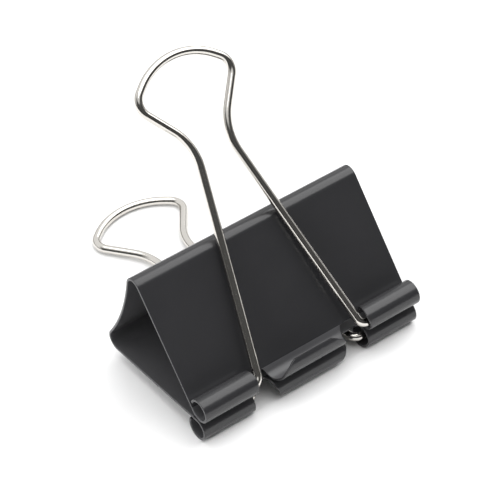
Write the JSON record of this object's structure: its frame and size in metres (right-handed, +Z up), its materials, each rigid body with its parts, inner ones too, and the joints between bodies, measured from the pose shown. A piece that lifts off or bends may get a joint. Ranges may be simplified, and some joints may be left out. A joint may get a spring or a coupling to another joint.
{
  "type": "binder clip",
  "caption": "Fold-back binder clip: a black spring-steel body of triangular section with curled jaws and wire handles that fold back over its ridges.",
  "frame": {"origin": "middle of the bounding box at the height of the table that the clip lies on", "axes": "+Z up, +X along the jaws, +Y from the jaws towards the spine and the loops of the handles"},
  "size_m": [0.051, 0.066, 0.0553],
  "materials": {
    "black_enamel": "satin to semi-gloss black stove enamel",
    "nickel_plate": "bright nickel plate"
  },
  "bodies": {
    "spine": {"spine": "black_enamel"},
    "upper_leaf": {"upper_leaf": "black_enamel"},
    "lower_leaf": {"lower_leaf": "black_enamel"},
    "upper_handle": {"upper_handle": "nickel_plate"},
    "lower_handle": {"lower_handle": "nickel_plate"}
  },
  "joints": [
    {"name": "upper_jaw_flex", "type": "hinge", "parent": "spine", "child": "upper_leaf", "pos_m": [0, -0.01129, 0.02727], "axis": [-1, 0, 0], "range_deg": [0, 28], "stiffness_Nm_per_rad": 2.4},
    {"name": "lower_jaw_flex", "type": "hinge", "parent": "spine", "child": "lower_leaf", "pos_m": [0, -0.00105, 0.00416], "axis": [1, 0, 0], "range_deg": [0, 28], "stiffness_Nm_per_rad": 2.4},
    {"name": "upper_handle_fold", "type": "hinge", "parent": "upper_leaf", "child": "upper_handle", "pos_m": [0, -0.03132, 0.00749], "axis": [1, 0, 0], "range_deg": [0, 155]},
    {"name": "lower_handle_fold", "type": "hinge", "parent": "lower_leaf", "child": "lower_handle", "pos_m": [0, -0.0295, 0.0025], "axis": [-1, 0, 0], "range_deg": [0, 155]}
  ],
  "couplings": [
    {"joint": "lower_jaw_flex", "follows": "upper_jaw_flex", "ratio": 1}
  ]
}
